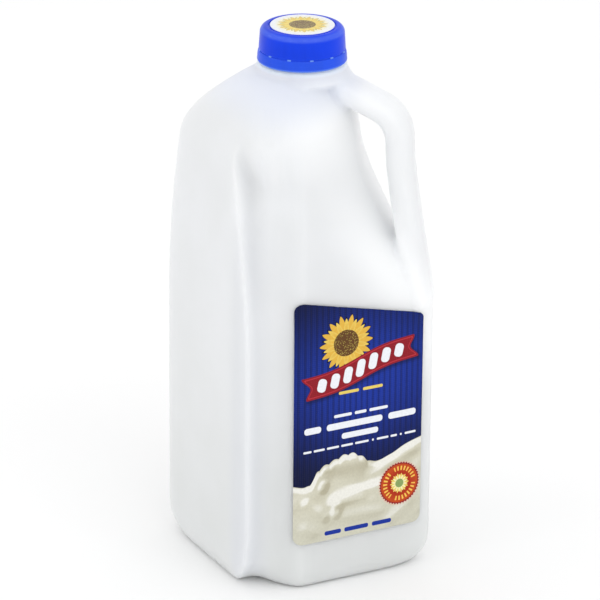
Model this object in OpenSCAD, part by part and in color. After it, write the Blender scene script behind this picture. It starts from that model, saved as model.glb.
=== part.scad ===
// Half gallon milk jug with a blown handle on one corner, a screw cap
// with its seal band, a round sticker on the cap and a paper label.
// The jug stands on Z = 0 with its neck on the Z axis. Its handle runs
// down the corner towards +X, and the jug is the same on both sides of
// the XZ plane. The label is on the wall between +X and -Y.

/* [Jug] */
// Width of the square body, wall to wall
body_w = 99.5; // [86:0.5:120]
// Height at which the walls start to lean in
lean_z = 122; // [90:1:135]
// How far the walls lean in by the shoulder's start
lean = 4; // [0:0.5:9]
// Height of the shoulder's start, where the walls turn in
shoulder_z = 203; // [186:1:212]
// Height of the neck's foot, where the shoulder ends
neck_z = 242; // [236:0.5:246]
// Height of the neck's lip, on which the cap sits
lip_z = 262; // [256:0.5:290]
// How square the corners are, from round at 2 to sharp at 14
squareness = 9.5; // [6:0.1:14]
// Radius of the neck's foot
neck_foot_r = 23.5; // [22:0.5:28]
// Radius of the neck under the cap
neck_r = 17.8; // [16:0.1:18.5]

/* [Foot] */
// How far the foot stands in from the walls
heel_in = 6; // [3:0.5:10]
// Height of the rounded heel
heel_h = 15.5; // [8:0.5:24]
// How square the foot is, from round at 2 to sharp at 12
foot_squareness = 6; // [3:0.1:12]
// Width of the flat rim that the jug stands on
foot_rim = 7; // [4:0.5:12]
// Depth of the hollow under the foot
push_up = 3; // [0.5:0.5:6]

/* [Corner flutes] */
// Depth of the flute in the lower half of its corner
flute_depth = 7.2; // [3:0.1:10]
// Depth that it gains up to its top end
flute_top_gain = 4.5; // [0:0.5:12]
// Height of the flute's top end
flute_top_z = 210; // [190:1:216]
// Height over which the flute runs out at its top end
flute_fade = 28; // [8:1:30]

/* [Handle] */
// Thickness of the handle, from the hand's hole outwards
handle_t = 12; // [10:0.5:15]
// Width of the handle across the hole
handle_w = 22; // [17:0.5:26]
// Distance from the jug's axis to the handle's middle at its bend
handle_reach = 46.5; // [45:0.5:52]
// Height of the handle's middle at its bend
handle_bend_z = 225; // [215:0.5:230]
// Distance from the jug's axis to the wall behind the hand's hole
scoop_d = 26.4; // [22:0.1:28]
// Angle by which that wall slants back to each side of the handle
scoop_slant = 16; // [0:1:22]
// Height at which that wall starts to run out to the handle
scoop_top_z = 203; // [185:1:210]
// Height at which the wall meets the handle's corner
scoop_foot_z = 126; // [105:1:135]

/* [Cap] */
// Outer radius of the cap's wall under its rounded edge
cap_r = 19.5; // [18.9:0.1:21]
// How much wider the wall is at its foot
cap_draft = 0.7; // [0:0.1:1.2]
// Outer radius of the seal band's widest ring
band_r = 21; // [20.5:0.1:22.5]
// Height of the whole closure, band and cap
closure_h = 16.5; // [14:0.5:19]
// Height of the seal band
band_h = 5.2; // [3:0.1:7]
// Height of the slit between the band and the cap
slit_h = 0.6; // [0.3:0.1:1]
// Number of small bridges across the slit
bridges = 12; // [6:1:16]
// Radius of the rounding at the cap's top edge
cap_edge_r = 3.5; // [1:0.1:4]
// Thickness of the cap's top
cap_top_t = 2; // [1:0.1:3]

/* [Paper] */
// Radius of the round sticker on the cap
sticker_r = 15; // [8:0.1:15.5]
// Thickness of the paper, on the cap and on the body
paper_t = 0.3; // [0.2:0.05:0.6]
// Distance from the label's left edge to the wall's middle
label_left = 28; // [18:0.5:30]
// Distance from the label's right edge to the wall's middle
label_right = 39.5; // [20:0.5:40]
// Height of the label's lower edge above the floor
label_z = 24.5; // [18:0.5:40]
// Height of the label's left edge
label_h = 123; // [80:1:126]
// How much shorter the right edge is
label_slant = 16; // [0:0.5:25]
// Radius of the label's corners
label_corner = 4; // [1:0.5:8]

/* [Hidden] */

half_w = body_w / 2;
total_h = lip_z + cap_top_t;
band_z = total_h - closure_h;
cap_z = band_z + band_h + slit_h;
cap_foot_r = cap_r + cap_draft;
// Gap between the neck and the cap's wall
clearance = 0.3;
// Overlap that joins touching shapes into one
merge = 0.01;
round_squareness = 2;

// How far z has come from one height to another, as 0 to 1
function rise(z, from, to) = max(0, min(1, (z - from) / (to - from)));
function ease(u) = u * u * (3 - 2 * u);

// ---- Walls, shoulder and foot -------------------------------------

// The outline at each height is a rounded square. Its squareness is
// the power of the curve, and its corners stand this much further out
// than the middles of its sides.
function corner_factor(p) = pow(2, 0.5 - 1 / p);
function squareness_at(z) =
    z < heel_h ? foot_squareness + (squareness - foot_squareness) * ease(z / heel_h)
    : squareness + (round_squareness - squareness) * ease(rise(z, shoulder_z, neck_z));

corner_r = half_w * corner_factor(squareness);
shoulder_corner_r = (half_w - lean) * corner_factor(squareness);
shoulder_power = 0.95;
function heel(z) = heel_in * (1 - sqrt(1 - pow(1 - rise(z, 0, heel_h), 2)));
function wall(z) = half_w - heel(z) - lean * pow(rise(z, lean_z, shoulder_z), 2);
function shoulder(z) = neck_foot_r + (shoulder_corner_r - neck_foot_r)
    * pow(sin(90 * (1 - rise(z, shoulder_z, neck_z))), shoulder_power);
function half_width(z) =
    z < shoulder_z ? wall(z) : shoulder(z) / corner_factor(squareness_at(z));

// ---- Handle's line and the scoop behind it ------------------------

// The handle's middle leans outwards down to the corner that it joins
handle_foot_z = 137;
handle_foot_d = corner_r - handle_t / 2;
function handle_mid(z) = handle_reach + (handle_foot_d - handle_reach)
    * pow(rise(z, handle_bend_z, handle_foot_z), 1.35);

// How far the handle stands out from the corner that it runs down
handle_proud = 0.5;

// Distance to the two planes that cut the handle's corner behind the
// hand's hole. They run out to the full corner below it, and out to
// the neck above it.
scoop_lean = 0.12;
scoop_run = 31;
scoop_flare = 2;
function scoop(z) = let(u = rise(z, scoop_top_z, scoop_foot_z))
    (scoop_d + scoop_lean * max(0, shoulder_z + 14 - z) + scoop_run * ease(u)
        + scoop_flare * ease(rise(z, neck_z - 18, neck_z)))
    / max(merge, 1 - pow(u, 6));

// ---- Corner flutes ------------------------------------------------

// Angles count from the handle's corner: 0 is the handle, 90 a fluted
// corner and 180 the plain corner. A flute is steep on its side away
// from the handle, and its edge there swings away as the flute rises.
flute_from = 71;
flute_to = 95;
flute_swing = 18;
flute_low_z = 119;
flute_foot_swing = 12;
flute_foot_gain = 6;
function flute_up(z) = pow(rise(z, flute_low_z, flute_top_z), 2);
function near_foot(z) = pow(1 - rise(z, 0, 1.5 * heel_h), 2);
function flute_end(z) = flute_to + flute_swing * flute_up(z) + flute_foot_swing * near_foot(z);
function flute_deep(z) =
    (flute_depth + flute_top_gain * flute_up(z) + flute_foot_gain * near_foot(z))
    * ease(1 - rise(z, flute_top_z - flute_fade / 2, flute_top_z + flute_fade / 2));
function flute(a, z) = let(across = rise(a, flute_end(z), flute_from))
    flute_deep(z) * pow(sin(180 * pow(across, 0.65)), 1.2);

// ---- Outline and skin ---------------------------------------------

// A flat side's share in the rounded outline at angle a
function side_term(a, r, p) = pow(max(0, cos(a)) / r, p);

// Distance from the axis to the jug's face at angle a and height z
function face_r(a, z, grow) = let(
        p = squareness_at(z),
        w = half_width(z) + grow,
        c = scoop(z) + grow,
        walls = side_term(a - 45, w, p) + side_term(a - 135, w, p) + side_term(a + 45, w, p)
            + side_term(a + 135, w, p) + side_term(a - scoop_slant, c, p)
            + side_term(a + scoop_slant, c, p),
        handle_face = (handle_mid(z) + handle_t / 2 - handle_proud + grow) / max(merge, cos(a)))
    min(pow(walls, -1 / p), handle_face) - flute(a, z);

// One column of points stays on the flute's edge
handle_columns = 15;
flute_columns = 9;
plain_columns = 13;
crowding = 1.25;
function half_ring(z) = let(e = flute_end(z)) concat(
    [for (i = [0 : handle_columns - 1]) flute_from * pow(i / handle_columns, crowding)],
    [for (i = [flute_columns : -1 : 1]) e - (e - flute_from) * pow(i / flute_columns, crowding)],
    [for (i = [plain_columns : -1 : 0]) 180 - (180 - e) * pow(i / plain_columns, crowding)]);
function ring_angles(z) = let(h = half_ring(z))
    concat(h, [for (i = [len(h) - 2 : -1 : 1]) -h[i]]);
function ring(z, grow = 0) = [for (a = ring_angles(z)) let(r = face_r(abs(a), z, grow))
    [r * cos(a), r * sin(a), z]];
function foot_ring(scale, z) = [for (q = ring(0)) [q.x * scale, q.y * scale, z]];

// Heights of the rings, closer where the shape changes faster
heel_steps = 7;
wall_steps = 8;
run_steps = 15;
top_steps = 17;
run_from = scoop_foot_z;
top_from = shoulder_z - 7;
heights = concat(
    [for (i = [0 : heel_steps - 1]) heel_h * pow(i / heel_steps, 1.8)],
    [for (i = [0 : wall_steps - 1]) heel_h + (run_from - heel_h) * i / wall_steps],
    [for (i = [0 : run_steps - 1]) run_from + (top_from - run_from) * i / run_steps],
    [for (i = [0 : top_steps]) top_from + (neck_z - top_from) * i / top_steps]);

// A closed skin over a stack of rings with equal numbers of points
module skin(rings) {
    n = len(rings[0]);
    last = len(rings) - 1;
    polyhedron(
        points = [for (r = rings) each r],
        faces = concat(
            [for (i = [0 : last - 1], k = [0 : n - 1]) let(j = (k + 1) % n)
                [i * n + k, (i + 1) * n + k, (i + 1) * n + j, i * n + j]],
            [[for (k = [0 : n - 1]) k]],
            [[for (k = [n - 1 : -1 : 0]) last * n + k]]),
        convexity = 6);
}

// Makes one faceted shell, at its own size, of all it is given
module one_shell() {
    resize([0, 0, 0])
        children();
}

module body(grow = 0) {
    skin([for (z = heights) ring(z, grow)]);
}

module foot_hollow() {
    rim = 1 - foot_rim / half_w;
    skin([
        foot_ring(rim, -1),
        foot_ring(rim, 0),
        foot_ring(rim - 0.1, push_up),
        foot_ring(0.3, 1.3 * push_up)]);
}

// The collar under the seal band, a little wider than the band
collar_r = band_r + 0.3;

module neck() {
    rotate_extrude($fn = 48)
        polygon([
            [0, neck_z - 8],
            [neck_foot_r - 7, neck_z - 8],
            [neck_foot_r, neck_z - 0.6],
            [collar_r + 0.7, neck_z + 0.7],
            [collar_r, neck_z + 1.8],
            [collar_r, band_z - 0.9],
            [band_r - 0.8, band_z - 0.4],
            [neck_r, band_z - 0.2],
            [neck_r, lip_z],
            [0, lip_z]]);
}

// ---- Handle -------------------------------------------------------

// The handle's middle line in the XZ plane, as [x, z]
arm_slope = 0.42;
arm_in = 31;
bend_r = 9.5;
bend_steps = 8;
straight_steps = 6;
handle_fullness = 2.6;
handle_sides = 16;

function toward(a, b, s) = a + (b - a) * s / norm(b - a);
function bend(a, b, c, r, n) = let(p = toward(b, a, r), q = toward(b, c, r))
    [for (i = [0 : n]) let(t = i / n) (1 - t) * (1 - t) * p + 2 * t * (1 - t) * b + t * t * q];
function handle_line() = let(
        root = [handle_reach - arm_in, handle_bend_z + arm_in * arm_slope],
        corner = [handle_reach, handle_bend_z],
        foot = [handle_foot_d, handle_foot_z],
        low = handle_bend_z - bend_r)
    concat(
        [root],
        bend(root, corner, foot, bend_r, bend_steps),
        [for (i = [1 : straight_steps]) let(z = low + (handle_foot_z - low) * i / straight_steps)
            [handle_mid(z), z]],
        [foot + [-6, -22]]);

function tangent(path, i) = let(d = path[min(len(path) - 1, i + 1)] - path[max(0, i - 1)])
    d / norm(d);
function fuller(c) = sign(c) * pow(abs(c), 2 / handle_fullness);
function handle_ring(path, i) = let(t = tangent(path, i))
    [for (k = [0 : handle_sides - 1]) let(
            a = -360 * k / handle_sides,
            out = handle_t / 2 * fuller(cos(a)))
        [path[i].x - t.y * out, handle_w / 2 * fuller(sin(a)), path[i].y + t.x * out]];

module handle() {
    path = handle_line();
    skin([for (i = [0 : len(path) - 1]) handle_ring(path, i)]);
}

module jug() {
    color("#eef1f5")
        one_shell()
            union() {
                difference() {
                    body();
                    foot_hollow();
                }
                handle();
                neck();
            }
}

// ---- Closure ------------------------------------------------------

// Half of the cap's section, with its rounded top edge
module cap_section() {
    top = total_h - cap_z;
    intersection() {
        union() {
            polygon([
                [0, 0],
                [cap_foot_r, 0],
                [cap_r, top - cap_edge_r],
                [cap_r - cap_edge_r, top],
                [0, top]]);
            translate([cap_r - cap_edge_r, top - cap_edge_r])
                circle(r = cap_edge_r, $fn = 48);
        }
        square([cap_foot_r, top]);
    }
}

module band_section() {
    polygon([
        [0, 0],
        [band_r - 1, 0],
        [band_r, 0.9],
        [cap_foot_r + 0.1, band_h],
        [0, band_h]]);
}

module bridge() {
    reach = cap_foot_r - 0.2;
    inner = neck_r + clearance;
    translate([inner, -0.6, band_z + band_h - merge])
        cube([reach - inner, 1.2, slit_h + 2 * merge]);
}

module cap() {
    color("#2352e6") {
        difference() {
            union() {
                translate([0, 0, cap_z])
                    rotate_extrude($fn = 96)
                        cap_section();
                translate([0, 0, band_z])
                    rotate_extrude($fn = 96)
                        band_section();
            }
            translate([0, 0, band_z - 1])
                cylinder(r = neck_r + clearance, h = lip_z - band_z + 1, $fn = 96);
        }
        for (i = [0 : bridges - 1])
            rotate([0, 0, 360 * i / bridges])
                bridge();
    }
}

// ---- Paper --------------------------------------------------------

module cap_sticker() {
    color("#f3efdc")
        translate([0, 0, total_h])
            cylinder(r = sticker_r, h = paper_t, $fn = 96);
}

// The label as seen from outside, with x from the wall's middle
module label_outline() {
    offset(r = label_corner, $fn = 32)
        offset(delta = -label_corner)
            polygon([
                [-label_left, label_z],
                [label_right, label_z],
                [label_right, label_z + label_h - label_slant],
                [-label_left, label_z + label_h]]);
}

// The label follows the wall that it is stuck to
module label() {
    color("#24418f")
        one_shell()
            difference() {
                intersection() {
                    body(paper_t);
                    rotate([0, 0, 45])
                        translate([0, -half_w * 0.8, 0])
                            rotate([90, 0, 0])
                                linear_extrude(half_w * 0.4)
                                    label_outline();
                }
                body();
            }
}

jug();
cap();
cap_sticker();
label();
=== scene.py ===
import math

import bpy
from bpy.props import FloatProperty, FloatVectorProperty, IntProperty, PointerProperty
from mathutils import Matrix, Vector


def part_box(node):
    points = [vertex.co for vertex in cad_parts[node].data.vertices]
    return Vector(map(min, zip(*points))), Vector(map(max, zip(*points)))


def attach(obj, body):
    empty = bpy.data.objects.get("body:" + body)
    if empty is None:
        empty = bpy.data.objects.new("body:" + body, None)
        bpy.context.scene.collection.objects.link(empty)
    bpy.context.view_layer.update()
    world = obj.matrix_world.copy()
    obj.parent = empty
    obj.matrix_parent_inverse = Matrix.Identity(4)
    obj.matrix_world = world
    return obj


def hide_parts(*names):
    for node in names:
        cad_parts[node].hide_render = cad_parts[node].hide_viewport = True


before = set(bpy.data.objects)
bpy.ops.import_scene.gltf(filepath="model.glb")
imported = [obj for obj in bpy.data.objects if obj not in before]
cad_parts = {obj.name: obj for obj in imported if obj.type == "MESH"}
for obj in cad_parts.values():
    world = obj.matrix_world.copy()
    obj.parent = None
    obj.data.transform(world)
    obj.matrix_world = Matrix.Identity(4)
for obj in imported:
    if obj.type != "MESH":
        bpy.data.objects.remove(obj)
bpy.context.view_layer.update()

bl_info = {
    "name": "Milk Jug",
    "version": (1, 0, 0),
    "blender": (4, 5, 0),
    "location": "View3D > Sidebar > Milk Jug",
    "description": "Builds a half gallon milk jug with its screw cap, cap sticker and paper label",
    "category": "Add Mesh",
}

MM = 0.001
CAP_LOW, CAP_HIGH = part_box("cap")
STICKER_LOW, STICKER_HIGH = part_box("cap_sticker")
LABEL_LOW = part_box("label")[0]

# The label's wall faces halfway between +X and -Y
WALL_TURN = math.radians(45)
WALL_OUT = Vector((math.sin(WALL_TURN), -math.cos(WALL_TURN), 0))

SMOOTH_ANGLE = math.radians(40)
TURNED_SEGMENTS = 128
FLOOR_RADIUS = 12.0
# The lights aim at a point on the jug's axis
LIT_POINT = Vector((0, 0, 0.12))


# ---- Sizes, colours and stage ---------------------------------------------


def length(name, description, default):
    return FloatProperty(name=name, description=description, default=default, min=0.0, unit="LENGTH")


def colour(name, description, default):
    return FloatVectorProperty(
        name=name, description=description, default=default, size=3, min=0.0, max=1.0, subtype="COLOR"
    )


def bearing(name, description, degrees):
    return FloatProperty(name=name, description=description, default=math.radians(degrees), subtype="ANGLE")


class MilkJugSizes(bpy.types.PropertyGroup):
    """Sizes of the pieces, in metres"""

    skin_cell: length("Skin Cell", "Size of the faces that the blown skin is made of", 1.2 * MM)
    skin_rounding: IntProperty(
        name="Skin Rounding", description="Passes that round the skin's edges", default=6, min=0, max=40
    )
    seam_width: length("Seam Width", "Width of the mould's parting line", 1.0 * MM)
    seam_height: length("Seam Height", "How far the parting line stands out", 0.2 * MM)
    seam_floor: length("Seam Floor", "Height below which the parting line is flat", 4 * MM)
    cap_wall: length("Cap Wall Radius", "Radius of the cap's wall under its rounded edge", 19.75 * MM)
    cap_draft: length("Cap Draft", "How much wider the wall is at its foot", 0.5 * MM)
    cap_edge: length("Cap Edge", "Radius of the cap's rounded top edge", 3.1 * MM)
    band_height: length("Band Height", "Height of the seal band", 5.2 * MM)
    slit_height: length("Slit Height", "Height of the slit over the seal band", 0.45 * MM)
    slit_depth: length("Slit Depth", "Depth of the slit over the seal band", 0.4 * MM)
    bridge_width: length("Bridge Width", "Width of a bridge across the slit", 1.7 * MM)
    bridges: IntProperty(name="Bridges", description="Number of bridges", default=12, min=4, max=24)
    paper: length("Paper Thickness", "Thickness of the label's paper", 0.3 * MM)
    label_left: length("Label Left", "From the label's left edge to the wall's middle", 28 * MM)
    label_right: length("Label Right", "From the label's right edge to the wall's middle", 39.5 * MM)
    label_height: length("Label Height", "Height of the label's left edge", 123 * MM)
    label_slant: length("Label Slant", "How much shorter the label's right edge is", 16 * MM)
    label_corner: length("Label Corner", "Radius of the label's corners", 4 * MM)


class MilkJugColours(bpy.types.PropertyGroup):
    """Colours of the plastic, the paper and the print"""

    plastic: colour("Plastic", "Milk-white polyethylene over milk", (0.765, 0.775, 0.79))
    plastic_shade: colour("Plastic Shade", "Tone of the plastic near the foot", (0.68, 0.695, 0.69))
    # Painted light lifting the shade on the web beside the hand hole and on the handle's arm
    plastic_painted_light: colour("Plastic Clear", "Paler tone beside the hand hole", (0.87, 0.88, 0.89))
    # Painted shade darkening the concave fluted corners
    plastic_flute_shade: colour("Plastic Flute", "Tone in the fluted corners", (0.67, 0.685, 0.71))
    plastic_neck: colour("Plastic Neck", "Bluish tone under the cap", (0.735, 0.76, 0.82))
    # Painted light: a pale blue glow where the neck's collar meets the seal band
    plastic_collar_glow: colour("Plastic Collar", "Pale blue tone of the neck's collar", (0.80, 0.87, 0.95))
    cap: colour("Cap", "Blue polyethylene of the cap", (0.003, 0.048, 0.76))
    band: colour("Seal Band", "Thinner, lighter plastic of the seal band", (0.018, 0.088, 0.80))
    bridge: colour("Bridge", "Stretched, paler plastic of the bridges", (0.16, 0.32, 0.85))
    # Painted highlight round the cap's rounded top edge
    cap_edge_highlight: colour("Cap Rubbed", "Scuffed plastic at the cap's top edge", (0.10, 0.18, 0.80))
    paper: colour("Paper", "Bare paper", (0.80, 0.82, 0.86))
    blue: colour("Print Blue", "Brightest blue of the print", (0.012, 0.035, 0.30))
    navy: colour("Print Navy", "Darkest blue of the print", (0.005, 0.007, 0.028))
    gold: colour("Print Gold", "Yellow of the petals", (0.76, 0.58, 0.13))
    brown: colour("Print Brown", "Brown of the flower's heart", (0.12, 0.055, 0.02))
    red: colour("Print Red", "Red of the ribbon", (0.26, 0.014, 0.022))
    orange: colour("Print Orange", "Orange of the seal", (0.50, 0.065, 0.015))
    cream: colour("Print Cream", "Middle tone of the printed milk", (0.60, 0.58, 0.465))
    cream_light: colour("Print Cream Light", "Light tone of the printed milk", (0.80, 0.79, 0.73))
    cream_shade: colour("Print Cream Shade", "Dark tone of the printed milk", (0.44, 0.41, 0.30))
    cream_low: colour("Print Cream Low", "Tone of the printed milk near its foot", (0.56, 0.56, 0.47))
    wash: colour("Sticker Wash", "Pale yellow round the sticker's flower", (0.86, 0.80, 0.52))
    sticker_gold: colour("Sticker Gold", "Petals of the sticker's flower", (0.82, 0.74, 0.22))
    sticker_edge: colour("Sticker Edge", "Outline of the sticker's flower", (0.34, 0.28, 0.08))
    seal_halo: colour("Seal Halo", "Soft tone round the seal", (0.75, 0.42, 0.30))
    seal_middle: colour("Seal Middle", "Deep red in the seal's middle", (0.36, 0.016, 0.010))
    seal_dash: colour("Seal Dash", "Yellow of the seal's dashes", (0.86, 0.52, 0.09))
    seal_edge: colour("Seal Flower Edge", "Outline of the seal's flower", (0.80, 0.60, 0.14))
    seal_petal: colour("Seal Petal", "Petals of the seal's flower", (0.85, 0.80, 0.45))
    seal_heart: colour("Seal Heart", "Green of its heart", (0.24, 0.34, 0.12))
    floor: colour("Floor", "Pale floor", (0.955, 0.955, 0.955))


class MilkJugStage(bpy.types.PropertyGroup):
    """Camera and lights"""

    camera_turn: bearing("Camera Turn", "Angle from the front", 17.194)
    camera_away: length("Camera Distance", "Distance from the jug's axis", 1.938)
    camera_height: length("Camera Height", "Height above the floor", 0.8981)
    camera_tilt: bearing("Camera Tilt", "Angle below the horizon", 21.698)
    camera_roll: bearing("Camera Roll", "Turn about the view axis", 0.5)
    lens: FloatProperty(name="Lens", description="Focal length in millimetres", default=263.8, min=10)
    sky: FloatProperty(name="Sky", description="Strength of the even light", default=0.98, min=0)
    key: FloatProperty(name="Key Light", description="Power of the key light in watts", default=12.5, min=0)
    fill: FloatProperty(name="Fill Light", description="Power of the fill light in watts", default=6.5, min=0)
    light_size: length("Light Size", "Width of both lights", 2.2)


# ---- Modelling helpers ----------------------------------------------------


def nothing_selected():
    """Leaves edit mode and clears the selection."""
    if bpy.context.object and bpy.context.object.mode != "OBJECT":
        bpy.ops.object.mode_set(mode="OBJECT")
    bpy.ops.object.select_all(action="DESELECT")


def take(piece):
    """Makes one piece the only one that the next operators act on."""
    nothing_selected()
    bpy.context.view_layer.objects.active = piece
    piece.select_set(True)


def own_copy(source, name):
    """A new object in the scene, with its own copy of another's mesh."""
    piece = bpy.data.objects.new(name, source.data.copy())
    bpy.context.collection.objects.link(piece)
    return piece


def copy_of_node(node, name):
    """A free copy of a CAD node, with its loose triangles merged into one skin."""
    piece = own_copy(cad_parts[node], name)
    take(piece)
    bpy.ops.object.mode_set(mode="EDIT")
    bpy.ops.mesh.select_all(action="SELECT")
    bpy.ops.mesh.remove_doubles(threshold=0.01 * MM)
    bpy.ops.object.mode_set(mode="OBJECT")
    return piece


def finish_with(piece, kind, **settings):
    """Adds one modifier with its settings and applies it."""
    take(piece)
    bpy.ops.object.modifier_add(type=kind)
    modifier = piece.modifiers[-1]
    for key, value in settings.items():
        setattr(modifier, key, value)
    bpy.ops.object.modifier_apply(modifier=modifier.name)


def in_place(piece):
    """Puts a piece's place into its mesh."""
    take(piece)
    bpy.ops.object.transform_apply(location=True, rotation=True, scale=True)


def turned(name, rings):
    """A turned solid: a disc at the first ring, extruded and resized from ring to ring."""
    nothing_selected()
    radius, height = rings[0]
    bpy.ops.mesh.primitive_circle_add(
        vertices=TURNED_SEGMENTS, radius=radius, location=(0, 0, height),
        fill_type="NGON", enter_editmode=True,
    )
    piece = bpy.context.object
    piece.name = name
    bpy.ops.mesh.select_all(action="SELECT")
    for next_radius, next_height in rings[1:]:
        rise = next_height - height
        scale = next_radius / radius
        bpy.ops.mesh.extrude_region_move(TRANSFORM_OT_translate={"value": (0, 0, rise)})
        bpy.ops.transform.resize(value=(scale, scale, 1), center_override=(0, 0, next_height))
        radius, height = next_radius, next_height
    bpy.ops.mesh.select_all(action="SELECT")
    bpy.ops.mesh.normals_make_consistent(inside=False)
    in_place(piece)
    return piece


def arc(centre_r, centre_z, radius, first, last, steps):
    """Ring sizes along an arc in a turned piece's section, from one angle to another."""
    angles = [math.radians(first + (last - first) * i / steps) for i in range(steps + 1)]
    return [(centre_r + radius * math.cos(a), centre_z + radius * math.sin(a)) for a in angles]


def dress(piece, material):
    """Smooths a piece's shading except at its sharp edges, and gives it its material."""
    take(piece)
    bpy.ops.object.shade_smooth_by_angle(angle=SMOOTH_ANGLE)
    piece.data.materials.append(material)


def tie(piece, node):
    """Ties a finished piece to the frame, in place of one CAD node."""
    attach(piece, "root")
    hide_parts(node)


# ---- Shader helpers -------------------------------------------------------


class Recipe:
    """Adds nodes to one shader tree. Each step gives the socket that it puts out."""

    def __init__(self, tree):
        self.tree = tree

    def node(self, kind, inputs=(), **settings):
        made = self.tree.nodes.new(kind)
        for key, value in settings.items():
            setattr(made, key, value)
        for key, value in dict(inputs).items():
            self.feed(made.inputs[key], value)
        return made

    def feed(self, socket, value):
        if isinstance(value, bpy.types.NodeSocket):
            self.tree.links.new(value, socket)
        else:
            socket.default_value = value

    def math(self, operation, *values, clamp=False):
        made = self.node("ShaderNodeMath", operation=operation, use_clamp=clamp)
        for socket, value in zip(made.inputs, values):
            self.feed(socket, value)
        return made.outputs[0]

    def vector(self, operation, *values, out="Vector"):
        made = self.node("ShaderNodeVectorMath", operation=operation)
        for socket, value in zip(made.inputs, values):
            self.feed(socket, value)
        return made.outputs[out]

    def split(self, vector):
        return self.node("ShaderNodeSeparateXYZ", {"Vector": vector}).outputs

    def join(self, x, y, z=0.0):
        return self.node("ShaderNodeCombineXYZ", {"X": x, "Y": y, "Z": z}).outputs[0]

    def step(self, value, low, high):
        """0 below low, 1 above high and a soft step between them."""
        made = self.node(
            "ShaderNodeMapRange",
            {"Value": value, "From Min": low, "From Max": high},
            interpolation_type="SMOOTHSTEP",
        )
        return made.outputs[0]

    def noise(self, vector, scale, detail=2.0, roughness=0.5, distortion=0.0):
        made = self.node(
            "ShaderNodeTexNoise",
            {"Vector": vector, "Scale": scale, "Detail": detail, "Roughness": roughness,
             "Distortion": distortion},
        )
        return made.outputs[0]

    def paint(self, below, above, mask):
        """Lays one colour over another where the mask is 1."""
        made = self.node("ShaderNodeMix", data_type="RGBA")
        for key, value in ((0, mask), (6, below), (7, above)):
            self.feed(made.inputs[key], value)
        return made.outputs[2]

    def group(self, tree, **inputs):
        made = self.node("ShaderNodeGroup", node_tree=tree)
        for key, value in inputs.items():
            self.feed(made.inputs[key.replace("_", " ").title()], value)
        return made.outputs

    def object_place(self, turn=0.0, scale=1 / MM):
        """The point's place on the piece in millimetres, turned about Z."""
        place = self.node("ShaderNodeTexCoord").outputs["Object"]
        made = self.node(
            "ShaderNodeMapping",
            {"Vector": place, "Rotation": (0, 0, turn), "Scale": (scale, scale, scale)},
        )
        return made.outputs[0]

    def bump(self, height, distance, strength=1.0):
        made = self.node("ShaderNodeBump", {"Height": height, "Distance": distance, "Strength": strength})
        return made.outputs[0]


def solid(rgb):
    """A colour without transparency, as a colour socket takes it."""
    return (*rgb, 1.0)


def tinted(rgb, shares):
    """A colour with each channel scaled by its own share."""
    return tuple(channel * share for channel, share in zip(rgb, shares))


def new_group(name, inputs, outputs):
    """An empty shader group with its sockets: (recipe, inputs by name, function that sets an output)."""
    tree = bpy.data.node_groups.new(name, "ShaderNodeTree")
    for label, kind, default in inputs:
        socket = tree.interface.new_socket(label, in_out="INPUT", socket_type=kind)
        if default is not None:
            socket.default_value = default
    for label in outputs:
        tree.interface.new_socket(label, in_out="OUTPUT", socket_type="NodeSocketFloat")
    recipe = Recipe(tree)
    entry = recipe.node("NodeGroupInput")
    end = recipe.node("NodeGroupOutput")
    return recipe, entry.outputs, lambda label, value: recipe.feed(end.inputs[label], value)


VECTOR = "NodeSocketVector"
FLOAT = "NodeSocketFloat"


def moulded_skin_group():
    """Marks of moulded plastic: a fine peel, faint flow lines and broad cloudy tones."""
    recipe, given, put = new_group(
        "Moulded Skin",
        (("Place", VECTOR, None), ("Grain", FLOAT, 1.0), ("Flow", FLOAT, 0.3)),
        ("Height", "Tone", "Sheen Marks"),
    )
    place = given["Place"]
    peel = recipe.noise(place, recipe.math("MULTIPLY", given["Grain"], 0.9), 3.0, 0.55)
    stretched = recipe.vector("MULTIPLY", place, (1.0, 1.0, 0.06))
    flow = recipe.noise(stretched, 0.55, 3.0, 0.6)
    broad = recipe.noise(place, 0.028, 3.0, 0.5)
    scuffs = recipe.noise(recipe.vector("MULTIPLY", place, (0.5, 0.5, 2.2)), 0.35, 5.0, 0.7, 1.5)
    put("Height", recipe.math("MULTIPLY_ADD", flow, given["Flow"], peel))
    put("Tone", recipe.step(recipe.math("MULTIPLY_ADD", flow, 0.15, broad), 0.35, 0.8))
    put("Sheen Marks", recipe.step(scuffs, 0.45, 0.75))
    return recipe.tree


def printed_paper_group():
    """Coated paper: fibres under the ink, a fine print screen and uneven ink."""
    recipe, given, put = new_group(
        "Printed Paper",
        (("Place", VECTOR, None), ("Screen", FLOAT, 3.2)),
        ("Height", "Ink", "Dots"),
    )
    place = given["Place"]
    fibres = recipe.noise(recipe.vector("MULTIPLY", place, (1.0, 1.0, 0.35)), 2.6, 5.0, 0.7)
    cockle = recipe.noise(place, 0.06, 1.0)
    phase = recipe.split(recipe.vector("MULTIPLY", place, recipe.join(*[given["Screen"]] * 3)))
    dots = recipe.math(
        "MULTIPLY",
        recipe.math("SINE", recipe.math("ADD", phase[0], phase[2])),
        recipe.math("SINE", recipe.math("SUBTRACT", phase[0], phase[2])),
    )
    put("Height", recipe.math("MULTIPLY_ADD", cockle, 6.0, fibres))
    put("Ink", recipe.step(recipe.noise(place, 0.9, 4.0, 0.6), 0.3, 0.75))
    put("Dots", recipe.step(dots, 0.1, 0.7))
    return recipe.tree


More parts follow.
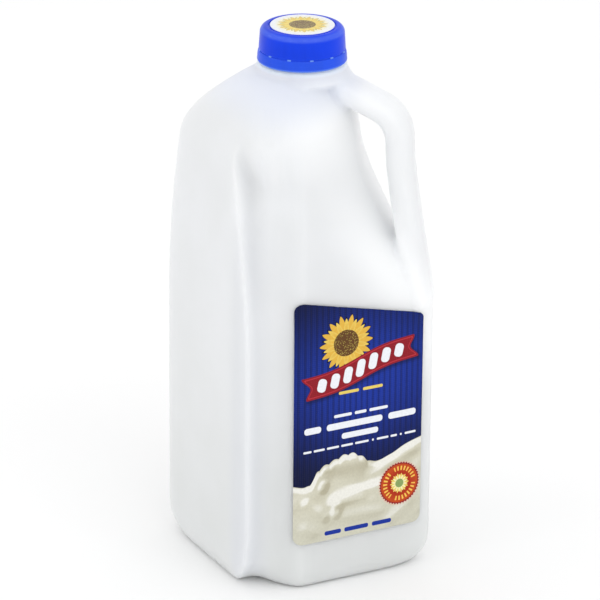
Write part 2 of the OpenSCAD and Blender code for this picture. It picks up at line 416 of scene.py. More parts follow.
def round_bar_group():
    """A bar with round corners, turned about its centre."""
    recipe, given, put = new_group(
        "Round Bar",
        (
            ("Place", VECTOR, None), ("Centre", VECTOR, None), ("Half Size", VECTOR, None),
            ("Rounding", FLOAT, 0.5), ("Turn", FLOAT, 0.0), ("Softness", FLOAT, 0.08),
        ),
        ("Mask",),
    )
    away = recipe.vector("SUBTRACT", given["Place"], given["Centre"])
    straight = recipe.node(
        "ShaderNodeVectorRotate",
        {"Vector": away, "Angle": recipe.math("MULTIPLY", given["Turn"], -1.0)},
        rotation_type="Z_AXIS",
    ).outputs[0]
    core = recipe.vector("SUBTRACT", given["Half Size"], recipe.join(given["Rounding"], given["Rounding"]))
    past = recipe.vector("SUBTRACT", recipe.vector("ABSOLUTE", straight), core)
    flat = recipe.vector("MULTIPLY", past, (1.0, 1.0, 0.0))
    outside = recipe.vector("LENGTH", recipe.vector("MAXIMUM", flat, (0.0, 0.0, 0.0)), out="Value")
    sides = recipe.split(flat)
    inside = recipe.math("MINIMUM", recipe.math("MAXIMUM", sides[0], sides[1]), 0.0)
    distance = recipe.math("SUBTRACT", recipe.math("ADD", outside, inside), given["Rounding"])
    soft = recipe.math("DIVIDE", distance, given["Softness"])
    put("Mask", recipe.math("SUBTRACT", 1.0, recipe.step(soft, -1.0, 1.0)))
    return recipe.tree


def milk_relief_group(round_bar):
    """A crown of milk: its wavy upper edge, and its height with a hollow, folds and drops."""
    recipe, given, put = new_group("Milk Relief", (("Place", VECTOR, None),), ("Height", "Depth"))
    place = given["Place"]
    across, up = recipe.split(place)[:2]
    curve = recipe.node("ShaderNodeFloatCurve")
    share = recipe.math("DIVIDE", recipe.math("ADD", across, 28.0), 67.5, clamp=True)
    recipe.feed(curve.inputs["Value"], share)
    points = curve.mapping.curves[0].points
    shape = ((0.0, 0.23), (0.10, 0.21), (0.18, 0.53), (0.30, 0.71), (0.43, 0.81), (0.52, 0.68),
             (0.62, 0.52), (0.74, 0.61), (0.88, 0.82), (1.0, 0.92))
    for spot, level in shape[1:-1]:
        points.new(spot, level)
    points[0].location = shape[0]
    points[-1].location = shape[-1]
    curve.mapping.update()
    beads = recipe.math("ABSOLUTE", recipe.math("SINE", recipe.math("MULTIPLY", across, 0.62)))
    crown = recipe.math("MULTIPLY", recipe.step(across, -24.0, -18.0), recipe.step(across, 16.0, 8.0))
    edge = recipe.math("MULTIPLY_ADD", curve.outputs[0], 20.0, 50.0)
    edge = recipe.math("MULTIPLY_ADD", recipe.math("MULTIPLY", beads, crown), 1.1, edge)
    depth = recipe.math("SUBTRACT", edge, up)
    height = recipe.math("MULTIPLY", recipe.step(depth, -0.5, 2.8), 1.6)
    # (centre, half size, turn in degrees, softness, how far it rises)
    features = (
        ((1.0, 53.0), (14.5, 6.5), -4, 5.5, -3.2),
        ((7.0, 47.0), (17.0, 2.2), 9, 3.2, 1.9),
        ((0.0, 43.0), (9.0, 1.6), 3, 2.6, 1.0),
        ((-13.5, 53.0), (2.0, 2.8), -25, 1.5, 1.5),
        ((-6.2, 39.5), (2.4, 3.6), -20, 1.6, 1.9),
        ((-17.5, 41.5), (1.8, 8.0), 48, 2.2, 2.2),
        ((24.0, 59.0), (14.0, 2.2), 22, 3.4, 1.4),
        ((27.0, 32.5), (8.0, 2.0), 32, 3.6, 1.3),
        ((4.0, 35.0), (15.0, 2.0), -3, 4.0, 1.0),
        ((-19.0, 31.0), (6.0, 1.8), -28, 3.4, 1.2),
    )
    for centre, half, turn, softness, rise in features:
        bar = recipe.group(
            round_bar, place=place, centre=(*centre, 0), half_size=(*half, 0),
            rounding=min(half), turn=math.radians(turn), softness=softness,
        )
        height = recipe.math("MULTIPLY_ADD", bar["Mask"], rise, height)
    swell = recipe.noise(recipe.vector("MULTIPLY", place, (0.8, 1.4, 1.0)), 0.055, 0.5, 0.4, 0.6)
    put("Height", recipe.math("MULTIPLY_ADD", swell, 3.0, height))
    put("Depth", depth)
    return recipe.tree


def flower_group():
    """A flower seen from the front: two rows of petals round a seeded heart."""
    recipe, given, put = new_group(
        "Flower",
        (
            ("Place", VECTOR, None), ("Petals", FLOAT, 16.0), ("Reach", FLOAT, 10.0),
            ("Heart", FLOAT, 5.0), ("Softness", FLOAT, 0.12),
        ),
        ("Outline", "Back Petals", "Front Petals", "Shade", "Heart", "Seeds"),
    )
    x, y = recipe.split(given["Place"])[:2]
    radius = recipe.vector("LENGTH", recipe.join(x, y), out="Value")
    beat = recipe.math(
        "MULTIPLY", recipe.math("DIVIDE", recipe.math("ARCTAN2", y, x), math.tau), given["Petals"]
    )

    def row(shift, share):
        """(how far inside the row's edge, how far from a petal's middle line)"""
        part = recipe.math("FRACT", recipe.math("ADD", beat, shift))
        aside = recipe.math("MULTIPLY", recipe.math("ABSOLUTE", recipe.math("SUBTRACT", part, 0.5)), 2.0)
        dip = recipe.math("MULTIPLY", recipe.math("POWER", aside, 1.35), 0.5)
        edge = recipe.math("MULTIPLY", given["Reach"], recipe.math("SUBTRACT", share, dip))
        return recipe.math("SUBTRACT", edge, radius), aside

    def inside(depth):
        return recipe.step(recipe.math("DIVIDE", depth, given["Softness"]), -1.0, 1.0)

    front, aside = row(0.0, 0.90)
    back, _ = row(0.5, 1.0)
    deepest = recipe.math("MAXIMUM", front, back)
    put("Outline", inside(recipe.math("ADD", deepest, recipe.math("MULTIPLY", given["Reach"], 0.035))))
    put("Back Petals", inside(back))
    rim = recipe.math("ADD", front, recipe.math("MULTIPLY", given["Reach"], -0.03))
    put("Front Petals", inside(rim))
    depth = recipe.math("DIVIDE", radius, given["Reach"])
    put("Shade", recipe.math("MULTIPLY", recipe.step(depth, 0.95, 0.45), recipe.step(aside, 0.9, 0.1)))
    put("Heart", inside(recipe.math("SUBTRACT", given["Heart"], radius)))
    seeds = recipe.node("ShaderNodeTexVoronoi", {"Vector": given["Place"], "Scale": 1.3})
    put("Seeds", recipe.step(seeds.outputs["Distance"], 0.45, 0.15))
    return recipe.tree


def build_groups():
    """Builds each shared effect once."""
    groups = {"skin": moulded_skin_group(), "paper": printed_paper_group(), "bar": round_bar_group()}
    groups["relief"] = milk_relief_group(groups["bar"])
    groups["flower"] = flower_group()
    return groups


GROUPS = {}


def new_material(name):
    """(material, recipe, its Principled shader)"""
    material = bpy.data.materials.new(name)
    material.use_nodes = True
    return material, Recipe(material.node_tree), material.node_tree.nodes["Principled BSDF"]


# ---- Finishes -------------------------------------------------------------


def milk_plastic(colours):
    """Milk-white polyethylene, a little waxy, with a soft sheen."""
    material, recipe, shader = new_material("Milk Plastic")
    place = recipe.object_place()
    marks = recipe.group(GROUPS["skin"], place=place, grain=1.0, flow=0.8)
    across, sideways, height = recipe.split(place)
    # Painted shade: the plastic darkens toward the foot, mixed with the skin's random cloudy tone
    low = recipe.step(height, 150.0, 0.0)
    tone = recipe.math("MULTIPLY_ADD", marks["Tone"], 0.3, recipe.math("MULTIPLY", low, 0.7))
    base = recipe.paint(solid(colours.plastic), solid(colours.plastic_shade), tone)
    # Painted shade in the fluted corners, deeper toward the foot; the two fluted corners stand farthest out
    # along Y
    flute = recipe.math("MULTIPLY", recipe.step(across, -26.0, -14.0), recipe.step(across, 6.0, -5.0))
    corner = recipe.step(recipe.math("ABSOLUTE", sideways), 48.0, 58.0)
    flute = recipe.math("MULTIPLY", flute, corner)
    flute = recipe.math("MULTIPLY", flute, recipe.math("MULTIPLY_ADD", low, 0.5, 0.5))
    base = recipe.paint(base, solid(colours.plastic_flute_shade), flute)
    # The web beside the hand hole lies along this slanting measure; it and the handle's arm get painted light
    # that lifts the shade around the hole
    beside = recipe.math("MULTIPLY_ADD", recipe.math("SUBTRACT", height, 172.0), 0.45, across)
    web = recipe.math("MULTIPLY", recipe.step(beside, 24.0, 42.0), recipe.step(beside, 57.0, 47.0))
    arm = recipe.math("MULTIPLY", recipe.step(height, 222.0, 240.0), recipe.step(across, 22.0, 36.0))
    painted_light_mask = recipe.math("MAXIMUM", web, recipe.math("MULTIPLY", arm, 0.6))
    base = recipe.paint(base, solid(colours.plastic_painted_light), painted_light_mask)
    neck = recipe.math("MULTIPLY", recipe.step(height, 221.0, 238.0), recipe.step(across, 34.0, 18.0))
    base = recipe.paint(base, solid(colours.plastic_neck), neck)
    # Painted light: a pale blue glow on the neck's collar just under the seal band
    base = recipe.paint(base, solid(colours.plastic_collar_glow), recipe.step(height, 244.4, 246.4))
    recipe.feed(shader.inputs["Base Color"], base)
    recipe.feed(shader.inputs["Roughness"], recipe.math("MULTIPLY_ADD", marks["Sheen Marks"], 0.1, 0.36))
    recipe.feed(shader.inputs["Normal"], recipe.bump(marks["Height"], 0.02 * MM, 0.6))
    shader.inputs["Subsurface Weight"].default_value = 1.0
    shader.inputs["Subsurface Radius"].default_value = (1.0, 1.0, 1.0)
    shader.inputs["Subsurface Scale"].default_value = 12 * MM
    shader.inputs["IOR"].default_value = 1.5
    shader.inputs["Specular IOR Level"].default_value = 0.35
    return material


def cap_plastic(name, colours, rgb, edge_rgb, edge_height):
    """Semi-gloss moulded polyethylene, paler at its lower edge, which on the seal band's lip is painted
    light, and with a painted highlight round the cap's top edge.
    """
    material, recipe, shader = new_material(name)
    place = recipe.object_place()
    marks = recipe.group(GROUPS["skin"], place=place, grain=2.4, flow=0.5)
    base = recipe.paint(solid(rgb), solid(tinted(rgb, (0.8,) * 3)), marks["Tone"])
    height = recipe.split(place)[2]
    rings = recipe.noise(recipe.join(0.0, 0.0, height), 1.6, 3.0, 0.7)
    base = recipe.paint(base, solid(edge_rgb), recipe.math("MULTIPLY", recipe.step(rings, 0.55, 0.8), 0.12))
    # Paler toward the lower edge; on the seal band's lip this is painted light showing through the thin
    # plastic
    edge = recipe.step(height, edge_height + 1.3, edge_height + 0.3)
    base = recipe.paint(base, solid(edge_rgb), recipe.math("MULTIPLY", edge, 0.6))
    top = CAP_HIGH[2] / MM
    # Painted highlight round the cap's rounded top edge, varied by the sheen marks
    rising = recipe.step(height, top - 3.2, top - 1.6)
    edge_highlight = recipe.math("MULTIPLY", rising, recipe.step(height, top, top - 0.8))
    edge_highlight = recipe.math("MULTIPLY", edge_highlight, recipe.math("MULTIPLY_ADD", marks["Sheen Marks"], 0.3, 0.45))
    base = recipe.paint(base, solid(colours.cap_edge_highlight), edge_highlight)
    recipe.feed(shader.inputs["Base Color"], base)
    recipe.feed(shader.inputs["Roughness"], recipe.math("MULTIPLY_ADD", marks["Sheen Marks"], 0.12, 0.3))
    recipe.feed(shader.inputs["Normal"], recipe.bump(marks["Height"], 0.015 * MM, 0.5))
    shader.inputs["IOR"].default_value = 1.5
    shader.inputs["Specular IOR Level"].default_value = 0.15
    return material


def paint_flower(recipe, base, colours, flower, gold, edge, fade=0.0):
    """Paints the flower's layers over the base colour, as strong or as faded as it is wanted."""
    under = base
    deep = tinted(gold, (0.94, 0.74, 0.5))
    base = recipe.paint(base, solid(edge), flower["Outline"])
    base = recipe.paint(base, solid(deep), flower["Back Petals"])
    petal = recipe.paint(solid(gold), solid(deep), flower["Shade"])
    base = recipe.paint(base, petal, flower["Front Petals"])
    seeded = recipe.paint(solid(colours.brown), solid(tinted(gold, (0.55,) * 3)), flower["Seeds"])
    full = recipe.paint(base, seeded, flower["Heart"])
    return recipe.paint(full, under, fade) if fade else full


def paper_finish(recipe, shader, base, paper, gloss):
    """Adds the paper's fibres, screen and uneven ink to a printed colour."""
    ink = recipe.math("MULTIPLY", paper["Ink"], 0.10)
    toned = recipe.paint(base, solid((0.5, 0.5, 0.5)), recipe.math("MULTIPLY", paper["Dots"], 0.02))
    value = recipe.math("SUBTRACT", 1.05, ink)
    made = recipe.node("ShaderNodeHueSaturation", {"Color": toned, "Value": value})
    recipe.feed(shader.inputs["Base Color"], made.outputs[0])
    recipe.feed(shader.inputs["Roughness"], recipe.math("MULTIPLY_ADD", paper["Ink"], 0.08, gloss))
    recipe.feed(shader.inputs["Normal"], recipe.bump(paper["Height"], 0.01 * MM, 0.5))
    shader.inputs["IOR"].default_value = 1.48
    shader.inputs["Specular IOR Level"].default_value = 0.07


def sticker_paper(colours):
    """The cap's sticker: a plain flower on pale paper."""
    material, recipe, shader = new_material("Sticker Paper")
    place = recipe.object_place()
    x, y = recipe.split(place)[:2]
    flat = recipe.join(x, y)
    paper = recipe.group(GROUPS["paper"], place=place, screen=3.2)
    flower = recipe.group(GROUPS["flower"], place=flat, petals=16.0, reach=11.4, heart=6.2)
    radius = recipe.vector("LENGTH", flat, out="Value")
    wash = recipe.paint(solid(colours.paper), solid(colours.wash), recipe.step(radius, 13.6, 10.0))
    gold, edge = colours.sticker_gold, colours.sticker_edge
    base = paint_flower(recipe, wash, colours, flower, gold, edge, fade=0.15)
    paper_finish(recipe, shader, base, paper, 0.38)
    return material


def label_place(recipe):
    """(place on the label in millimetres from the wall's middle and the floor, place in space)"""
    place = recipe.object_place(turn=-WALL_TURN)
    across, _, height = recipe.split(place)
    return recipe.join(across, height), place


def bar_mask(recipe, place, centre, half_size, rounding, turn=0.0, softness=0.1):
    """The mask of one bar with round corners."""
    return recipe.group(
        GROUPS["bar"], place=place, centre=(*centre, 0), half_size=(*half_size, 0),
        rounding=rounding, turn=turn, softness=softness,
    )["Mask"]


def paint_field(recipe, place, colours):
    """The blue field with its darker upright stripes."""
    across, height = recipe.split(place)[:2]
    wave = recipe.math("SINE", recipe.math("MULTIPLY", across, math.tau / 3.0))
    stripe = recipe.step(recipe.math("MULTIPLY_ADD", recipe.noise(place, 0.4, 1.0), 0.8, wave), 0.2, 1.3)
    away = recipe.vector("MULTIPLY", recipe.vector("SUBTRACT", place, (9.0, 105.0, 0.0)), (0.8, 1.1, 0.0))
    glow = recipe.step(recipe.vector("LENGTH", away, out="Value"), 60.0, 4.0)
    light = recipe.math("MULTIPLY_ADD", glow, 1.0, 0.06)
    dark = recipe.math("SUBTRACT", 1.0, recipe.math("MULTIPLY", stripe, 0.42))
    return recipe.paint(solid(colours.navy), solid(colours.blue), recipe.math("MULTIPLY", light, dark))


def paint_milk(recipe, base, place, colours):
    """The printed milk, shaded as a relief that is lit from its upper left."""
    relief = recipe.group(GROUPS["relief"], place=place)
    toward_light = recipe.vector("ADD", place, (-1.0, 1.2, 0.0))
    beside = recipe.group(GROUPS["relief"], place=toward_light)
    slope = recipe.math("SUBTRACT", relief["Height"], beside["Height"])
    milk = recipe.paint(solid(colours.cream), solid(colours.cream_light), recipe.step(slope, -0.02, 0.75))
    milk = recipe.paint(milk, solid(colours.cream_shade), recipe.step(slope, 0.0, -0.8))
    low = recipe.step(recipe.split(place)[1], 50.0, 26.0)
    milk = recipe.paint(milk, solid(colours.cream_low), recipe.math("MULTIPLY", low, 0.4))
    return recipe.paint(base, milk, recipe.step(relief["Depth"], -0.12, 0.12))


def paint_ribbon(recipe, base, place, colours):
    """A slanted, waving red ribbon with notched ends and a row of plain white lozenges."""
    from_middle = recipe.vector("SUBTRACT", place, (6.0, 109.6, 0.0))
    straight = recipe.node(
        "ShaderNodeVectorRotate", {"Vector": from_middle, "Angle": -math.radians(12.5)},
        rotation_type="Z_AXIS",
    ).outputs[0]
    x, y = recipe.split(straight)[:2]
    wave = recipe.math("MULTIPLY", recipe.math("SINE", recipe.math("MULTIPLY", x, 0.115)), 1.2)
    y = recipe.math("SUBTRACT", y, wave)
    notch = recipe.math("MULTIPLY", recipe.step(recipe.math("ABSOLUTE", y), 5.5, 0.0), 3.2)
    outward = recipe.math("MULTIPLY", recipe.math("SIGN", x), notch)
    cut = recipe.join(recipe.math("ADD", x, outward), y)
    bright = tinted(colours.red, (1.8, 2.2, 2.2))
    # (colour, middle, half size, softness, strength)
    layers = (
        (colours.navy, (0.5, -1.4), (30.8, 6.0), 1.6, 0.7),
        (colours.red, (0.0, 0.0), (30.4, 5.9), 0.1, 1.0),
        (bright, (0.0, 0.0), (29.6, 5.1), 0.1, 1.0),
        (colours.red, (0.0, 0.0), (29.2, 4.6), 0.1, 1.0),
    )
    for rgb, middle, half, softness, strength in layers:
        mask = bar_mask(recipe, cut, middle, half, 0.6, 0.0, softness)
        base = recipe.paint(base, solid(rgb), recipe.math("MULTIPLY", mask, strength))
    row = recipe.join(x, y)
    for i in range(7):
        centre = (7.0 * (i - 3), 0.0)
        half = (2.2, 4.2 - 0.25 * abs(i - 3))
        mask = bar_mask(recipe, row, centre, half, 1.9, math.radians(-24), 0.12)
        base = recipe.paint(base, solid(colours.paper), mask)
    return base


def paint_words(recipe, base, place, colours):
    """Plain bars and dots in gold, white and blue where a pack has its lines of print."""
    # (colour, middle height, thickness, (left, right) of each bar)
    lines = (
        (colours.gold, 98.7, 1.5, ((-5.4, 5.2), (7.4, 17.9))),
        (colours.paper, 87.3, 1.5, ((-7.8, 1.6), (3.2, 9.4), (11.0, 20.8))),
        (colours.paper, 82.2, 3.3, ((-23.4, -14.6), (-11.6, 18.0), (21.2, 36.0))),
        (colours.paper, 76.6, 2.9, ((-3.6, 15.8),)),
        (colours.paper, 71.7, 1.1, ((-23.8, -19.6), (-18.4, -12.6), (-11.4, -5.0), (-3.8, 2.4),
                                    (3.6, 10.8), (12.6, 13.6), (15.2, 21.4), (22.6, 26.0),
                                    (27.6, 28.6), (30.2, 36.2))),
        (colours.blue, 28.1, 2.2, ((-12.2, -3.4), (-1.6, 11.2), (13.2, 23.6))),
    )
    for rgb, middle, thickness, words in lines:
        for left, right in words:
            half = ((right - left) / 2, thickness / 2)
            mask = bar_mask(recipe, place, ((left + right) / 2, middle), half, thickness * 0.42)
            base = recipe.paint(base, solid(rgb), mask)
    return base


def paint_seal(recipe, base, place, colours):
    """A round seal with a scalloped edge, a ring of dashes and a small flower."""
    centred = recipe.vector("SUBTRACT", place, (27.8, 46.4, 0.0))
    x, y = recipe.split(centred)[:2]
    radius = recipe.vector("LENGTH", centred, out="Value")
    angle = recipe.math("ARCTAN2", y, x)
    scallops = recipe.math("MULTIPLY", recipe.math("COSINE", recipe.math("MULTIPLY", angle, 44.0)), 0.28)
    halo = recipe.step(recipe.math("ADD", radius, scallops), 11.6, 10.9)
    base = recipe.paint(base, solid(colours.seal_halo), recipe.math("MULTIPLY", halo, 0.45))
    disc = recipe.step(recipe.math("ADD", radius, scallops), 10.75, 10.5)
    base = recipe.paint(base, solid(colours.red), disc)
    glow = recipe.step(radius, 3.0, 9.8)
    face = recipe.paint(solid(colours.seal_middle), solid(colours.orange), glow)
    base = recipe.paint(base, face, recipe.step(radius, 10.0, 9.8))
    dashes = recipe.math("SINE", recipe.math("MULTIPLY", angle, 27.0))
    ring = recipe.math("MULTIPLY", recipe.step(radius, 6.5, 6.7), recipe.step(radius, 8.9, 8.7))
    ticks = recipe.math("MULTIPLY", recipe.step(dashes, -0.1, 0.35), ring)
    thirds = recipe.step(recipe.math("COSINE", recipe.math("MULTIPLY", angle, 3.0)), 0.93, 0.88)
    base = recipe.paint(base, solid(colours.seal_dash), recipe.math("MULTIPLY", ticks, thirds))
    small = recipe.group(GROUPS["flower"], place=centred, petals=14.0, reach=5.0, heart=2.2)
    base = recipe.paint(base, solid(colours.seal_edge), small["Outline"])
    base = recipe.paint(base, solid(colours.seal_petal), small["Front Petals"])
    return recipe.paint(base, solid(colours.seal_heart), small["Heart"])


def label_paper(colours):
    """The wall's label: fields of colour and plain shapes on coated paper."""
    material, recipe, shader = new_material("Label Paper")
    place, in_space = label_place(recipe)
    base = paint_field(recipe, place, colours)
    at_flower = recipe.vector("SUBTRACT", place, (-1.8, 123.6, 0.0))
    flower = recipe.group(GROUPS["flower"], place=at_flower, petals=14.0, reach=14.0, heart=6.6)
    base = paint_flower(recipe, base, colours, flower, colours.gold, colours.navy)
    base = paint_ribbon(recipe, base, place, colours)
    base = paint_milk(recipe, base, place, colours)
    base = paint_words(recipe, base, place, colours)
    base = paint_seal(recipe, base, place, colours)
    paper = recipe.group(GROUPS["paper"], place=in_space, screen=3.2)
    paper_finish(recipe, shader, base, paper, 0.34)
    return material


def floor_finish(colours):
    """A pale, faintly mottled floor."""
    material, recipe, shader = new_material("Pale Floor")
    place = recipe.object_place(scale=1.0)
    cloud = recipe.noise(place, 1.3, 3.0, 0.5)
    darker = tinted(colours.floor, (0.985,) * 3)
    recipe.feed(
        shader.inputs["Base Color"],
        recipe.paint(solid(colours.floor), solid(darker), recipe.step(cloud, 0.4, 0.65)),
    )
    shader.inputs["Roughness"].default_value = 0.75
    return material


# ---- Pieces ---------------------------------------------------------------


class MILK_JUG_OT_blow_jug(bpy.types.Operator):
    """Makes the jug: one soft blown skin with its handle, neck and parting line"""

    bl_idname = "milk_jug.blow_jug"
    bl_label = "Blown Jug"

    def execute(self, context):
        sizes = context.scene.milk_jug_sizes
        skin = copy_of_node("jug", "jug_skin")
        finish_with(skin, "REMESH", mode="VOXEL", voxel_size=sizes.skin_cell)
        finish_with(skin, "SMOOTH", factor=0.5, iterations=sizes.skin_rounding)
        self.raise_seam(skin, sizes)
        take(skin)
        bpy.ops.object.shade_smooth()
        skin.data.materials.clear()
        skin.data.materials.append(milk_plastic(context.scene.milk_jug_colours))
        tie(skin, "jug")
        return {"FINISHED"}

    def raise_seam(self, skin, sizes):
        """Cuts the skin along the mould's parting plane and lifts the middle cut into a fine line."""
        take(skin)
        bpy.ops.object.mode_set(mode="EDIT")
        for side in (-0.5, 0.5, 0.0):
            bpy.ops.mesh.select_all(action="SELECT")
            bpy.ops.mesh.bisect(plane_co=(0, side * sizes.seam_width, 0), plane_no=(0, 1, 0))
        bpy.ops.mesh.select_all(action="DESELECT")
        bpy.ops.object.mode_set(mode="OBJECT")
        for point in skin.data.vertices:
            on_plane = abs(point.co.y) < 0.01 * MM
            point.select = on_plane and point.co.z > sizes.seam_floor
        bpy.ops.object.mode_set(mode="EDIT")
        bpy.ops.transform.shrink_fatten(value=sizes.seam_height)
        bpy.ops.object.mode_set(mode="OBJECT")


class MILK_JUG_OT_turn_cap(bpy.types.Operator):
    """Turns the screw cap and its seal band, and adds the bridges between them"""

    bl_idname = "milk_jug.turn_cap"
    bl_label = "Screw Cap"

    def execute(self, context):
        sizes = context.scene.milk_jug_sizes
        colours = context.scene.milk_jug_colours
        low, top = CAP_LOW[2], CAP_HIGH[2]
        band_top = low + sizes.band_height
        cap_low = band_top + sizes.slit_height
        foot = sizes.cap_wall + sizes.cap_draft
        core = foot - sizes.slit_depth
        chamfer = 0.25 * MM
        groove = top - 0.6 * MM
        rest = STICKER_HIGH[0] + 0.05 * MM
        # From the slit up the wall, over the edge and through the groove round the sticker
        cap = turned(
            "screw_cap",
            [(core, band_top), (core, cap_low), (foot - chamfer, cap_low), (foot, cap_low + chamfer)]
            + arc(sizes.cap_wall - sizes.cap_edge, top - sizes.cap_edge, sizes.cap_edge, 0, 90, 12)
            + [(rest + 0.9 * MM, top), (rest + 0.7 * MM, groove), (rest + 0.15 * MM, groove), (rest, top)],
        )
        dress(cap, cap_plastic("Cap Plastic", colours, colours.cap, colours.band, band_top / MM))
        tie(cap, "cap")
        wide = CAP_HIGH[0]
        lip = 0.7 * MM
        # From its round lip up its slightly leaning wall to the slit
        band = turned(
            "seal_band",
            [(wide - 1.1 * MM, low)]
            + arc(wide - lip, low + lip, lip, -80, 30, 6)
            + [(wide - 0.15 * MM, low + 2.6 * MM), (wide - 0.4 * MM, band_top - 1.0 * MM)]
            + [(foot + 0.15 * MM, band_top - 0.3 * MM), (foot - 0.15 * MM, band_top)],
        )
        # The band's lip is painted paler in the bridge colour: painted light showing through its thin edge
        dress(band, cap_plastic("Band Plastic", colours, colours.band, colours.bridge, low / MM))
        tie(band, "cap")
        self.add_bridges(sizes, colours, band_top, cap_low, core, foot)
        return {"FINISHED"}

    def add_bridges(self, sizes, colours, low, high, core, foot):
        """Adds one rounded bridge and copies it round the slit."""
        nothing_selected()
        reach = foot - core + 0.1 * MM
        bpy.ops.mesh.primitive_cube_add(size=1, location=((core + foot) / 2, 0, (low + high) / 2))
        bridge = bpy.context.object
        bridge.name = "bridges"
        bridge.scale = (reach, sizes.bridge_width, high - low + 0.3 * MM)
        in_place(bridge)
        finish_with(bridge, "BEVEL", width=0.12 * MM, segments=2)
        parts = [bridge]
        for i in range(1, sizes.bridges):
            copy = own_copy(bridge, f"bridge_{i}")
            copy.rotation_euler[2] = math.tau * i / sizes.bridges
            parts.append(copy)
        nothing_selected()
        for part in parts:
            part.select_set(True)
        bpy.context.view_layer.objects.active = bridge
        bpy.ops.object.join()
        # Most of the edge tone lies below the bridges, so their own paler colour shows
        dress(bridge, cap_plastic("Bridge Plastic", colours, colours.bridge, colours.band, low / MM - 1))
        tie(bridge, "cap")


class MILK_JUG_OT_cut_sticker(bpy.types.Operator):
    """Cuts the round sticker on the cap"""

    bl_idname = "milk_jug.cut_sticker"
    bl_label = "Cap Sticker"

    def execute(self, context):
        low, high = STICKER_LOW[2], STICKER_HIGH[2]
        radius = STICKER_HIGH[0]
        edge = 0.1 * MM
        sticker = turned(
            "flower_sticker",
            [(radius, low), (radius, high - edge), (radius - edge, high), (radius - 1.0 * MM, high)],
        )
        dress(sticker, sticker_paper(context.scene.milk_jug_colours))
        tie(sticker, "cap_sticker")
        return {"FINISHED"}


class MILK_JUG_OT_paste_label(bpy.types.Operator):
    """Cuts the paper label and pastes it to the wall"""

    bl_idname = "milk_jug.paste_label"
    bl_label = "Paper Label"

    def execute(self, context):
        sizes = context.scene.milk_jug_sizes
        skin = bpy.data.objects["jug_skin"]
        left, right, low = -sizes.label_left, sizes.label_right, LABEL_LOW[2]
        high = low + sizes.label_height
        label = self.grid((left + right) / 2, (low + high) / 2, right - left, high - low)
        corners = [
            Vector((left, low)), Vector((right, low)),
            Vector((right, high - sizes.label_slant)), Vector((left, high)),
        ]
        self.trim(corners, sizes.label_corner)
        # The sheet stands upright outside the wall, and is then pressed onto it
        label.rotation_euler = (math.radians(90), 0, WALL_TURN)
        label.location = WALL_OUT * (60 * MM)
        in_place(label)
        finish_with(
            label, "SHRINKWRAP", target=skin, wrap_method="PROJECT",
            use_negative_direction=True, use_positive_direction=False, offset=0.0,
        )
        finish_with(label, "SOLIDIFY", thickness=sizes.paper, offset=0.8)
        dress(label, label_paper(context.scene.milk_jug_colours))
        tie(label, "label")
        return {"FINISHED"}

    def grid(self, x, y, width, height):
        """A flat sheet of small faces, a little larger than the label."""
        nothing_selected()
        cell = 1.5 * MM
        bpy.ops.mesh.primitive_grid_add(
            x_subdivisions=math.ceil(width / cell), y_subdivisions=math.ceil(height / cell),
            size=1, location=(x, y, 0),
        )
        sheet = bpy.context.object
        sheet.name = "paper_label"
        sheet.scale = (width + cell, height + cell, 1)
        in_place(sheet)
        return sheet

    def trim(self, corners, radius):
        """Cuts the sheet along the outline's edges, then round each corner."""
        bpy.ops.object.mode_set(mode="EDIT")
        outward = []
        for i, corner in enumerate(corners):
            along = corners[(i + 1) % len(corners)] - corner
            outward.append(Vector((along.y, -along.x)).normalized())
        cuts = list(zip(corners, outward))
        steps = 6
        for i, corner in enumerate(corners):
            before, after = outward[i - 1], outward[i]
            centre = corner - (before + after) * radius / (1 + before.dot(after))
            for k in range(1, steps):
                normal = before.lerp(after, k / steps).normalized()
                cuts.append((centre + normal * radius, normal))
        for point, normal in cuts:
            bpy.ops.mesh.select_all(action="SELECT")
            bpy.ops.mesh.bisect(plane_co=(*point, 0), plane_no=(*normal, 0), clear_outer=True)
        bpy.ops.object.mode_set(mode="OBJECT")


# ---- Stage ----------------------------------------------------------------


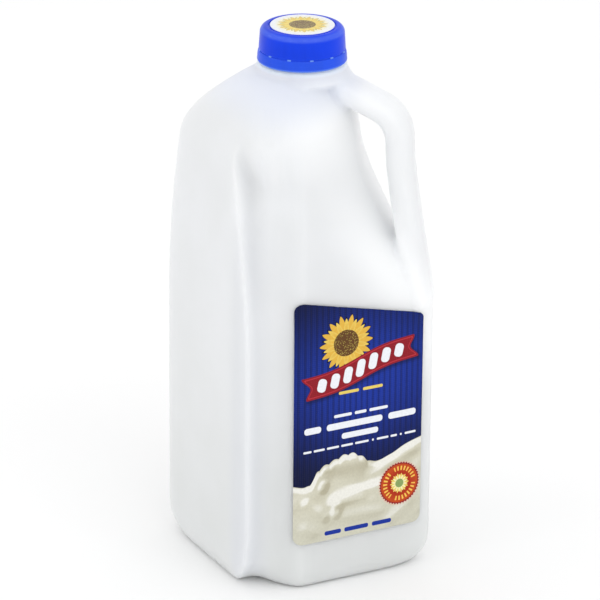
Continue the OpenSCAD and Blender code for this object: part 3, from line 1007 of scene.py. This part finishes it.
class MILK_JUG_OT_set_stage(bpy.types.Operator):
    """Sets the pale floor, the soft light and the camera"""

    bl_idname = "milk_jug.set_stage"
    bl_label = "Stage"

    def execute(self, context):
        stage = context.scene.milk_jug_stage
        context.scene.view_settings.view_transform = "Standard"
        nothing_selected()
        bpy.ops.mesh.primitive_circle_add(vertices=96, radius=FLOOR_RADIUS, fill_type="NGON")
        floor = context.object
        floor.name = "floor"
        floor.data.materials.append(floor_finish(context.scene.milk_jug_colours))
        self.light_sky(context, stage.sky)
        self.add_light("key_light", (1.7, -1.5, 1.9), stage.light_size, stage.key)
        self.add_light("fill_light", (-1.8, -1.2, 1.6), stage.light_size, stage.fill)
        self.add_camera(context, stage)
        return {"FINISHED"}

    def light_sky(self, context, strength):
        world = bpy.data.worlds.new("Studio")
        context.scene.world = world
        world.use_nodes = True
        background = world.node_tree.nodes["Background"]
        background.inputs["Color"].default_value = (1.0, 1.0, 1.0, 1.0)
        background.inputs["Strength"].default_value = strength

    def add_light(self, name, place, size, power):
        nothing_selected()
        bpy.ops.object.light_add(type="AREA", location=place)
        light = bpy.context.object
        light.name = name
        light.data.size = size
        light.data.energy = power
        aim = LIT_POINT - Vector(place)
        light.rotation_euler = aim.to_track_quat("-Z", "Y").to_euler()

    def add_camera(self, context, stage):
        """Stands the camera in front of the jug, tilted down and rolled a little."""
        turn, tilt, roll = stage.camera_turn, stage.camera_tilt, stage.camera_roll
        ahead = Vector((-math.sin(turn) * math.cos(tilt), math.cos(turn) * math.cos(tilt), -math.sin(tilt)))
        level = ahead.cross(Vector((0, 0, 1))).normalized()
        over = level.cross(ahead)
        right = level * math.cos(roll) + over * math.sin(roll)
        up = over * math.cos(roll) - level * math.sin(roll)
        nothing_selected()
        bpy.ops.object.camera_add()
        camera = context.object
        camera.name = "camera"
        axes = Matrix((right, up, -ahead)).transposed().to_4x4()
        away = stage.camera_away
        axes.translation = (away * math.sin(turn), -away * math.cos(turn), stage.camera_height)
        camera.matrix_world = axes
        camera.data.lens = stage.lens
        camera.data.clip_end = 50
        context.scene.camera = camera


class MILK_JUG_PT_panel(bpy.types.Panel):
    """Lists the milk jug's pieces"""

    bl_label = "Milk Jug"
    bl_idname = "MILK_JUG_PT_panel"
    bl_space_type = "VIEW_3D"
    bl_region_type = "UI"
    bl_category = "Milk Jug"

    def draw(self, context):
        for operator in OPERATORS:
            self.layout.operator(operator.bl_idname)
        for name, _ in SETTINGS:
            group = getattr(context.scene, name)
            for key in group.bl_rna.properties.keys():
                if key not in ("rna_type", "name"):
                    self.layout.prop(group, key)


OPERATORS = (
    MILK_JUG_OT_blow_jug,
    MILK_JUG_OT_turn_cap,
    MILK_JUG_OT_cut_sticker,
    MILK_JUG_OT_paste_label,
    MILK_JUG_OT_set_stage,
)
SETTINGS = (
    ("milk_jug_sizes", MilkJugSizes),
    ("milk_jug_colours", MilkJugColours),
    ("milk_jug_stage", MilkJugStage),
)


def register():
    for name, settings in SETTINGS:
        bpy.utils.register_class(settings)
        setattr(bpy.types.Scene, name, PointerProperty(type=settings))
    for made in (*OPERATORS, MILK_JUG_PT_panel):
        bpy.utils.register_class(made)


def unregister():
    for made in (MILK_JUG_PT_panel, *reversed(OPERATORS)):
        bpy.utils.unregister_class(made)
    for name, settings in reversed(SETTINGS):
        delattr(bpy.types.Scene, name)
        bpy.utils.unregister_class(settings)


def main():
    register()
    GROUPS.update(build_groups())
    bpy.ops.milk_jug.blow_jug()
    bpy.ops.milk_jug.turn_cap()
    bpy.ops.milk_jug.cut_sticker()
    bpy.ops.milk_jug.paste_label()
    bpy.ops.milk_jug.set_stage()


if __name__ == "__main__":
    main()
